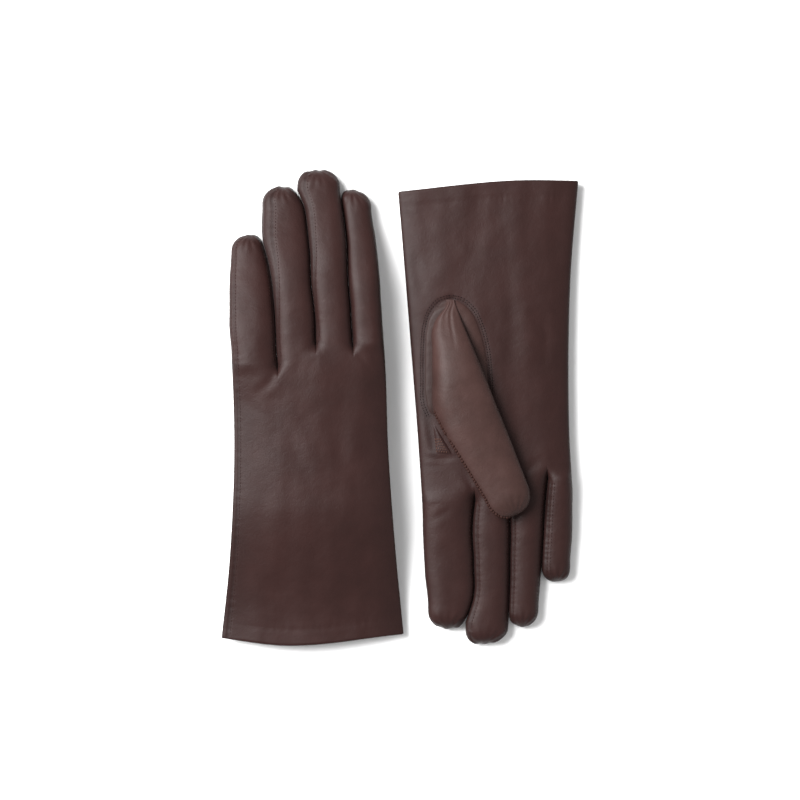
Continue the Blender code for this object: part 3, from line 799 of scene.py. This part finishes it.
def thumb_faces(share, profile, along, narrow):
    """Heights of a thumb's two faces over its bed; its inner edge is sewn down at the root."""
    height = THUMB_ROOT_HEIGHT + (THUMB_HEIGHT - THUMB_ROOT_HEIGHT) * smooth_step(along, 0.0, THUMB_FULL_AT)
    height += (THUMB_TIP_HEIGHT - THUMB_HEIGHT) * smooth_step(along, 60.0, THUMB_SHOULDER)
    middle = 0.5 * height * (0.4 + 0.6 * narrow)
    sewn = (1.0 - smooth_step(along, *THUMB_SEWN_FADE)) * smooth_step(share, 0.35, 1.0)
    rim = middle * (1.0 - sewn) - THUMB_EDGE_DROP * sewn
    crown = middle + 0.5 * height * narrow
    floor = (middle - 0.5 * height * narrow) * (1.0 - sewn) - THUMB_FLOOR_DROP * sewn
    sink = THUMB_ROOT_SINK * (1.0 - smooth_step(along, 0.0, THUMB_SINK_FADE))
    bedded = THUMB_BEDDED * (1.0 - smooth_step(along, *THUMB_BED_FADE))
    return rim + (crown - rim) * profile - sink, rim - (rim - floor) * profile - bedded


def thumb_level(glove, above_bed, y):
    """Height of a thumb point: on the right palm, or mirrored under the left one."""
    if glove["palm_up"]:
        return THUMB_BED + above_bed
    return np.maximum(lift(glove, y) - 1.0 - above_bed, 0.0)


def thumb_change(share, along, width):
    """Pleats at the thumb's root, slack along it, and gathers at its tip, in millimetres."""
    points = np.column_stack((share * width, np.full(len(share), along)))
    change = 0.30 * noise_field(points, 14.0, 41.0) + 0.10 * noise_field(points, 5.0, 43.0)
    root = 1.0 - smooth_step(along, 6.0, 36.0)
    change += 0.18 * root * np.cos(share * 4.6 * math.pi + 1.2 + 0.05 * along)
    fold = 0.30 + 0.004 * along
    change -= 0.55 * bell((share - fold) * width, 1.1) * (1.0 - smooth_step(along, 8.0, 30.0))
    near_tip = smooth_step(along, THUMB_LENGTH - 15.0, THUMB_LENGTH - 3.0)
    angle = np.arctan2(share - 0.5, max((THUMB_LENGTH + 4.0 - along) / width, 0.02))
    change += 0.20 * near_tip * np.cos(angle * 19.0)
    seam = seam_change(np.abs(share - THUMB_SEAM_SHARE) * width, along, 2.0)
    return change + 0.8 * seam * smooth_step(along, 40.0, 60.0)


# --- materials ---


def settle(node, **values):
    """Sets a node's properties by attribute and its inputs by name."""
    for key, value in values.items():
        if hasattr(node, key):
            setattr(node, key, value)
        else:
            node.inputs[key.replace("_", " ")].default_value = value
    return node


def add(tree, kind, **values):
    return settle(tree.nodes.new(kind), **values)


def ramp(tree, source, stops):
    """Colour ramp of (position, colour) stops fed by a value."""
    node = tree.nodes.new("ShaderNodeValToRGB")
    elements = node.color_ramp.elements
    while len(elements) < len(stops):
        elements.new(0.5)
    for element, (position, colour) in zip(elements, stops):
        element.position = position
        element.color = (*colour, 1.0)
    tree.links.new(source, node.inputs["Fac"])
    return node.outputs["Color"]


def bump(tree, source, strength, distance, over=None):
    """Normal bumped by a value, over another bumped normal if one is given."""
    node = add(tree, "ShaderNodeBump", Strength=strength, Distance=distance)
    tree.links.new(source, node.inputs["Height"])
    if over:
        tree.links.new(over, node.inputs["Normal"])
    return node.outputs["Normal"]


def new_finish(name):
    """Material with its node tree, its shader, and a maker of textures that follow the object."""
    made = bpy.data.materials.new(name)
    made.use_nodes = True
    tree = made.node_tree
    place = tree.nodes.new("ShaderNodeTexCoord").outputs["Object"]

    def texture(kind, **values):
        node = add(tree, "ShaderNodeTex" + kind, **values)
        tree.links.new(place, node.inputs["Vector"])
        return node

    return made, tree, tree.nodes["Principled BSDF"], texture


def leather(name, dark, base, light, roughness):
    """Smooth glove leather: slow colour variation, painted shade at its edges, folds and seams, fine pores
    and soft creasing.
    """
    made, tree, shader, texture = new_finish(name)
    link = tree.links.new
    clouds = texture("Noise", Scale=48.0, Detail=4.0, Roughness=0.6)
    pores = texture("Voronoi", Scale=2100.0)
    folds = texture("Noise", Scale=340.0, Detail=6.0, Roughness=0.62, Distortion=0.9)
    tone = ramp(tree, clouds.outputs["Fac"], ((0.30, dark), (0.52, base), (0.74, light)))
    # Painted shade: a stored attribute darkens the leather at its sloping edges, tips, folds, seam grooves
    # and between the fingers.
    shaded = add(tree, "ShaderNodeAttribute", attribute_name="painted_shade")
    darken = add(tree, "ShaderNodeMix", data_type="RGBA", blend_type="MULTIPLY")
    darken.inputs[7].default_value = PAINTED_SHADE_TONE
    link(shaded.outputs["Fac"], darken.inputs["Factor"])
    link(tone, darken.inputs[6])
    link(darken.outputs[2], shader.inputs["Base Color"])
    matte = add(tree, "ShaderNodeMapRange", To_Min=roughness - 0.05, To_Max=roughness + 0.09)
    link(folds.outputs["Fac"], matte.inputs["Value"])
    link(matte.outputs["Result"], shader.inputs["Roughness"])
    creasing = bump(tree, folds.outputs["Fac"], 0.32, 0.00045)
    link(bump(tree, pores.outputs["Distance"], 0.26, 0.00012, creasing), shader.inputs["Normal"])
    settle(shader, Specular_IOR_Level=0.165, Sheen_Weight=0.02, Sheen_Roughness=0.5)
    return made


def knit(name, dark, light):
    """Fine knitted lining: ribs across and along, with a soft sheen."""
    made, tree, shader, texture = new_finish(name)
    link = tree.links.new
    ribs = texture("Wave", Scale=420.0, Distortion=1.2, Detail=2.0)
    rows = texture("Wave", Scale=300.0, Distortion=2.0, bands_direction="Y")
    both = add(tree, "ShaderNodeMath", operation="MULTIPLY")
    link(ribs.outputs["Fac"], both.inputs[0])
    link(rows.outputs["Fac"], both.inputs[1])
    link(ramp(tree, both.outputs["Value"], ((0.1, dark), (0.8, light))), shader.inputs["Base Color"])
    link(bump(tree, both.outputs["Value"], 0.7, 0.0004), shader.inputs["Normal"])
    settle(shader, Roughness=0.9, Sheen_Weight=0.4)
    return made


def thread(name, colour):
    """Twisted sewing thread."""
    made, tree, shader, texture = new_finish(name)
    link = tree.links.new
    twist = texture("Wave", Scale=1800.0, Distortion=0.5, bands_direction="DIAGONAL")
    darker = tuple(0.6 * c for c in colour)
    link(ramp(tree, twist.outputs["Fac"], ((0.2, darker), (0.8, colour))), shader.inputs["Base Color"])
    link(bump(tree, twist.outputs["Fac"], 0.5, 0.0001), shader.inputs["Normal"])
    settle(shader, Roughness=0.6, Specular_IOR_Level=0.15)
    return made


def floor_finish(name, colour, roughness):
    """Plain pale ground with the slightest variation."""
    made, tree, shader, texture = new_finish(name)
    soft = texture("Noise", Scale=3.0)
    shade = tuple(0.985 * c for c in colour)
    tone = ramp(tree, soft.outputs["Fac"], ((0.3, shade), (0.7, colour)))
    tree.links.new(tone, shader.inputs["Base Color"])
    settle(shader, Roughness=roughness)
    return made


def build_finishes():
    """Every finish of the gloves by its name in this script."""
    finishes = {kind: leather(*looks) for kind, looks in LEATHERS.items()}
    finishes["lining"] = knit("knit_lining", *KNIT_TONES)
    finishes.update((name, thread(name, colour)) for name, colour in THREADS.items())
    return finishes


# --- pieces ---


def dress(piece, finish):
    """Gives a piece its finish."""
    piece.data.materials.clear()
    piece.data.materials.append(finish)
    return piece


def hold(piece):
    """Bakes a piece's placement into its points."""
    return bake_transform(piece)


def surface_tree(pieces):
    """Tree for dropping points on to the finished pieces."""
    points, faces = [], []
    for piece in pieces:
        first = len(points)
        points.extend(v.co.copy() for v in piece.data.vertices)
        faces.extend([first + k for k in face.vertices] for face in piece.data.polygons)
    return BVHTree.FromPolygons(points, faces)


def ground(glove, tree, x, y):
    """Height of the finished pieces under a plan point, in millimetres."""
    probe = to_frame(glove, np.array([(x, y, PROBE_HEIGHT)]))[0]
    place = tree.ray_cast(Vector(probe), DOWN)[0]
    return HAND_HEIGHT if place is None else place.z / MM


def stitches(name, glove, tree, path, pitch=1.75, length=1.25, radius=0.2, shift=0.0):
    """Row of small raised stitches along a plan path, lying on the skin."""
    centres = resample(path, pitch)
    ahead = directions(centres)
    centres = centres + shift * np.column_stack((-ahead[:, 1], ahead[:, 0]))
    height = np.full(len(centres), PROBE_HEIGHT)
    starts = to_frame(glove, np.column_stack((centres, height)))
    ends = to_frame(glove, np.column_stack((centres + ahead, height)))
    points, faces = [], []
    for start, end in zip(starts, ends):
        place, normal, _, _ = tree.ray_cast(Vector(start), DOWN)
        if place is None or normal.z < 0.15:
            continue
        forward = Vector(end - start).normalized()
        forward = (forward - normal * forward.dot(normal)).normalized()
        across = normal.cross(forward)
        faces += tube_faces(len(STITCH_PROFILE), len(STITCH_SECTION), len(points))
        for step, thick, rise in STITCH_PROFILE:
            middle = place + forward * (0.5 * length * step * MM) + normal * (radius * rise * MM)
            for a, b in STITCH_SECTION:
                points.append(middle + (across * a + normal * b * 0.8) * (radius * thick * MM))
    return make_mesh(name, points, faces) if points else None


def grid_path(skin, rows, column, first=0, last=None):
    """Plan path of one column of a skin's upper face."""
    return [skin.points[top[column]][:2] for top, _ in rows[first:last]]


def inset_ring(skin, row, step):
    """Ring of every few points of a skin's row, drawn in for the lining."""
    ring = np.array([skin.points[k] for k in ring_of(row)[::step]])
    low, high = ring.min(0), ring.max(0)
    middle = 0.5 * (low + high)
    half = np.maximum(0.5 * (high - low), 1e-6)
    scale = np.maximum(half - LINING_INSET, 0.05 * half) / half
    scale[1] = 1.0
    return middle + (ring - middle) * scale


def build_linings(glove, skin, grids, finish):
    """Knitted tubes inside the hand and each finger, closed at their far ends."""
    side = glove["name"]
    for part in ("hand", *FINGERS):
        rows, step = (slice(5, HAND_ROWS - 6, 3), 1) if part == "hand" else (slice(6, -8, 5), 2)
        rings = [inset_ring(skin, row, step) for row in grids[part][rows]]
        faces = tube_faces(len(rings), len(rings[0]), open_start=True)
        points = to_frame(glove, np.concatenate(rings))
        piece = dress(make_mesh(f"{side}_{part}_knit_lining", points, faces), finish)
        if part == "hand":
            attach(piece, f"{side}_hand")
        else:
            hold(piece)
        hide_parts(f"{side}_{part}_lining")


def finger_leathers(glove, skin, normals, finger, finishes):
    """A finger's own leather and its side strips."""
    side = glove["name"]
    parts = [skin.piece(glove, f"{side}_{finger}_skin", finger, normals)]
    dress(parts[0], finishes["leather"])
    for wanted, strip in zip(HAS_STRIP[finger], ("outer", "inner")):
        if wanted:
            label = f"{finger}_{strip}_fourchette"
            part = skin.piece(glove, f"{side}_{label}_skin", label, normals)
            # The side strips get the darker copy of the leather as painted shade.
            dress(part, finishes["side_leather"])
            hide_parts(f"{side}_{label}")
            parts.append(part)
    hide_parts(f"{side}_{finger}_leather")
    return parts


def build_glove(glove, finishes):
    side = glove["name"]
    skin, grids = build_skin(glove)
    normals = skin_normals(glove, skin)
    hand = skin.piece(glove, f"{side}_hand_skin", "hand", normals)
    dress(hand, finishes["leather"])
    parts = {finger: finger_leathers(glove, skin, normals, finger, finishes) for finger in FINGERS}
    tree = surface_tree([hand] + [part for finger in FINGERS for part in parts[finger]])
    sewing = finger_sewing(glove, skin, grids, tree)
    for finger in FINGERS:
        for part in parts[finger]:
            hold(part)
    for finger, row in sewing:
        hold(dress(row, finishes["thread"]))
    for row in hand_sewing(glove, skin, grids, tree):
        # Stitches round the thumb's hole and the crotches use the near-black thread, painted shade of their
        # holes included.
        kind = "dark_thread" if "hole" in row.name or "crotch" in row.name else "thread"
        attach(dress(row, finishes[kind]), f"{side}_hand")
    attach(hand, f"{side}_hand")
    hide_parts(f"{side}_hand_leather", f"{side}_cuff_hem")
    build_linings(glove, skin, grids, finishes["lining"])
    build_thumb_pieces(glove, finishes, tree)


def finger_sewing(glove, skin, grids, tree):
    """Stitch rows beside each finger's seams, with one more on the right little finger."""
    side = glove["name"]
    made = []
    for finger in FINGERS:
        low_column, high_column = glove["seams"][finger]
        extra = ((high_column, -3, "second"),) if finger == "little" and glove["palm_up"] else ()
        for column, beside, place in ((low_column, 1, "outer"), (high_column, -1, "inner"), *extra):
            if 0 < column < ACROSS:
                path = grid_path(skin, grids[finger], column + beside, STRIP_ROWS[0], STRIP_ROWS[1] + 1)
                made.append((finger, stitches(f"{side}_{finger}_{place}_stitches", glove, tree, path)))
    return [(finger, row) for finger, row in made if row]


def hand_sewing(glove, skin, grids, tree):
    """The left side seam, the loops at the crotches, and the rows round the right thumb's hole."""
    side = glove["name"]
    made = []
    if not glove["palm_up"]:
        path = grid_path(skin, grids["hand"], SIDE_SEAM_COLUMN + 1, 2)
        made.append(stitches(f"{side}_side_seam_stitches", glove, tree, path))
    for number, (x, y) in enumerate(crotches(glove)[1:4]):
        loop = [(x + 1.9 * math.sin(a), y + 0.6 - 2.6 * math.cos(a)) for a in np.linspace(-1.5, 1.5, 9)]
        name = f"{side}_crotch_{number + 1}_stitches"
        made.append(stitches(name, glove, tree, loop, pitch=1.2, length=0.85))
    if glove["palm_up"]:
        for edge, path, sign in (("outer", THUMB_HOLE_OUTER, 1.0), ("inner", THUMB_HOLE_INNER, -1.0)):
            for number, offset in enumerate(THUMB_STITCH_OFFSETS):
                name = f"{side}_thumb_hole_{edge}_stitches_{number + 1}"
                made.append(stitches(name, glove, tree, smooth_path(path), pitch=1.45, length=1.1,
                                     radius=0.25, shift=-sign * offset))
    return [row for row in made if row]


def thumb_base(glove, tree):
    """Leather of the thumb piece that lies flat inside its hole, beside the raised thumb."""
    across = spread(18)
    levels = np.linspace(THUMB_BASE_START, THUMB_BASE_END, 80)
    points, faces = [], []
    for level in levels:
        low = float(curve(THUMB_BASE_EDGES, level, 1))
        high = float(curve(THUMB_BASE_EDGES, level, 2))
        x, y = thumb_plan(level, low + (high - low) * across)
        end = smooth_step(level, THUMB_BASE_START, 3.0) * smooth_step(level, THUMB_BASE_END, 50.0)
        swell = 1.5 * rounded(across, 2.2) * end
        ripple = 0.12 * noise_field(np.column_stack((x, y)), 3.0, 51.0) * end
        for px, py, rise in zip(x, y, swell + ripple):
            points.append((px, py, max(ground(glove, tree, px, py), HAND_HEIGHT - 1.2) - 0.25 + rise))
    count = len(across)
    for row in range(len(levels) - 1):
        for i in range(count - 1):
            near = row * count + i
            faces.append([near, near + 1, near + count + 1, near + count])
    made = make_mesh(f"{glove['name']}_thumb_base", to_frame(glove, np.array(points)), faces)
    # Darker towards the piece's outer side, stored in the same attribute as the painted shade.
    set_painted_shade(made, np.tile(0.25 + 0.65 * smooth_step(across, 0.3, 0.7), len(levels)))
    return made


def quirk_patch(glove, tree):
    """The small triangle of leather where the thumb's outer seam ends."""
    corners = np.array(QUIRK)
    points, faces, index = [], [], {}
    for i in range(QUIRK_STEPS + 1):
        for j in range(QUIRK_STEPS + 1 - i):
            a, b = i / QUIRK_STEPS, j / QUIRK_STEPS
            plan = corners[0] * (1.0 - a - b) + corners[1] * a + corners[2] * b
            rise = 0.75 * smooth_step(min(a, b, 1.0 - a - b), 0.0, 0.12) - 0.15
            index[i, j] = len(points)
            points.append((*plan, ground(glove, tree, *plan) + rise))
    for i in range(QUIRK_STEPS):
        for j in range(QUIRK_STEPS - i):
            faces.append([index[i, j], index[i, j + 1], index[i + 1, j]])
            if i + j < QUIRK_STEPS - 1:
                faces.append([index[i + 1, j], index[i, j + 1], index[i + 1, j + 1]])
    return make_mesh(f"{glove['name']}_thumb_quirk_skin", to_frame(glove, np.array(points)), faces)


def quirk_sewing(glove, tree):
    """Close fans of stitches on the quirk."""
    apex, thumb_end, palm_end = (np.array(corner) for corner in QUIRK)
    made = []
    for number, share in enumerate(QUIRK_STITCH_SHARES):
        end = thumb_end + (palm_end - thumb_end) * share
        path = [apex + (end - apex) * 0.5, end - (0.0, 1.0)]
        name = f"{glove['name']}_quirk_stitches_{number + 1}"
        made.append(stitches(name, glove, tree, path, pitch=1.5, length=1.2, radius=0.3))
    return [row for row in made if row]


def thumb_edge_bead(glove, skin, rows, first, last, name):
    """Puckered raw edge that stands along the thumb's outer seam and round its tip."""
    centres = np.array([skin.points[top[THUMB_ACROSS - 4]] for top, _ in rows[first:last]])
    centres = resample(centres, BEAD_PITCH)
    ahead = directions(centres)
    across = np.cross(ahead, (0.0, 0.0, 1.0))
    across /= np.linalg.norm(across, axis=1)[:, None]
    above = np.cross(across, ahead)
    at = np.arange(len(centres)) * BEAD_PITCH
    thick = BEAD_RADIUS * (0.8 + 0.3 * np.cos(at * 2.0 * math.pi / 1.7) + 0.15 * np.cos(at * 1.9))
    if first < BEAD_FADE_ROW:
        thick = thick * np.maximum(smooth_step(at, 0.0, 4.0), 0.05)
    points = [centre + (side * a + up * b) * radius
              for centre, side, up, radius in zip(centres, across, above, thick)
              for a, b in STITCH_SECTION]
    faces = tube_faces(len(centres), len(STITCH_SECTION))
    return make_mesh(name, to_frame(glove, np.array(points)), faces)


def build_thumb_pieces(glove, finishes, tree):
    side = glove["name"]
    skin, rows = build_thumb(glove)
    normals = skin_normals(glove, skin)
    gusset = skin.piece(glove, f"{side}_thumb_gusset_skin", "gusset", normals)
    thumb = skin.piece(glove, f"{side}_thumb_skin", "thumb", normals)
    for piece in (gusset, thumb):
        dress(piece, finishes["thumb_leather"])
    if glove["palm_up"]:
        base = dress(thumb_base(glove, tree), finishes["thumb_leather"])
        # The quirk gets the darker copy of the leather as painted shade in its fold.
        quirk = dress(quirk_patch(glove, tree), finishes["side_leather"])
        for piece in (base, quirk):
            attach(piece, f"{side}_hand")
        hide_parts(f"{side}_thumb_quirk")
        for row in quirk_sewing(glove, surface_tree([quirk])):
            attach(dress(row, finishes["pale_thread"]), f"{side}_hand")
        split = next(i for i, (top, _) in enumerate(rows) if thumb_along(skin.points[top[0]]) > THUMB_HINGE)
        sewn = thumb_edge_bead(glove, skin, rows, BEAD_FIRST_ROW, split + 1, f"{side}_thumb_root_seam")
        free = thumb_edge_bead(glove, skin, rows, split, len(rows) - 2, f"{side}_thumb_edge_seam")
        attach(dress(sewn, finishes["edge_thread"]), f"{side}_hand")
        hold(dress(free, finishes["edge_thread"]))
    else:
        # The left quirk gets the darker copy of the leather as painted shade.
        dress(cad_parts[f"{side}_thumb_quirk"], finishes["side_leather"])
    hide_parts(f"{side}_thumb_gusset", f"{side}_thumb_gusset_lining")
    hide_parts(f"{side}_thumb_leather", f"{side}_thumb_lining")
    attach(gusset, f"{side}_hand")
    hold(thumb)


# --- stage ---


def build_floor():
    """Round pale ground, just under the gloves."""
    bpy.ops.mesh.primitive_circle_add(vertices=96, radius=FLOOR_RADIUS, fill_type="NGON")
    floor = bpy.context.object
    floor.name = "floor"
    floor.location.z = -FLOOR_DROP
    floor.data.materials.append(floor_finish("floor", FLOOR_TONE, 0.8))


def build_lamps():
    """One large soft key lamp from the upper left and a weak fill, both aimed at the gloves."""
    for name, (place, width, watts) in LAMPS.items():
        light = bpy.data.lights.new(name, "AREA")
        light.size = width
        light.energy = watts
        lamp = put(name, light)
        lamp.location = place
        lamp.rotation_euler = (-Vector(place)).to_track_quat("-Z", "Y").to_euler()


def build_sky():
    """Surroundings bright at the horizon and greyer above, with colours shown as they are."""
    world = bpy.data.worlds.new("world")
    world.use_nodes = True
    sky = world.node_tree
    axes = sky.nodes.new("ShaderNodeSeparateXYZ")
    sky.links.new(sky.nodes.new("ShaderNodeTexCoord").outputs["Generated"], axes.inputs["Vector"])
    tone = ramp(sky, axes.outputs["Z"], SKY)
    sky.links.new(tone, sky.nodes["Background"].inputs["Color"])
    bpy.context.scene.world = world
    bpy.context.scene.view_settings.view_transform = "Standard"


def build_camera():
    """Camera straight above, far enough away to see the gloves without much perspective."""
    data = bpy.data.cameras.new("camera")
    data.lens = LENS
    data.sensor_width = SENSOR
    data.clip_end = 20.0
    camera = put("camera", data)
    camera.location = (0.0, VIEW_MIDDLE_Y, VIEW_PLANE + VIEW_WIDTH * LENS / SENSOR)
    bpy.context.scene.camera = camera


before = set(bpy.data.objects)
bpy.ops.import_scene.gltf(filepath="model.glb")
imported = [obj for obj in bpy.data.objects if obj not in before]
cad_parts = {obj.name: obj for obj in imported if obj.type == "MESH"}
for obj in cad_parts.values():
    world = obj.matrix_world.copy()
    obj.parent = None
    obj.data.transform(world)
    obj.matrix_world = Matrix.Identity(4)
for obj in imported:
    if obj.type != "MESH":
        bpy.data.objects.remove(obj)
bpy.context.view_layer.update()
finishes = build_finishes()
for one in GLOVES:
    build_glove(one, finishes)
build_floor()
build_lamps()
build_sky()
build_camera()
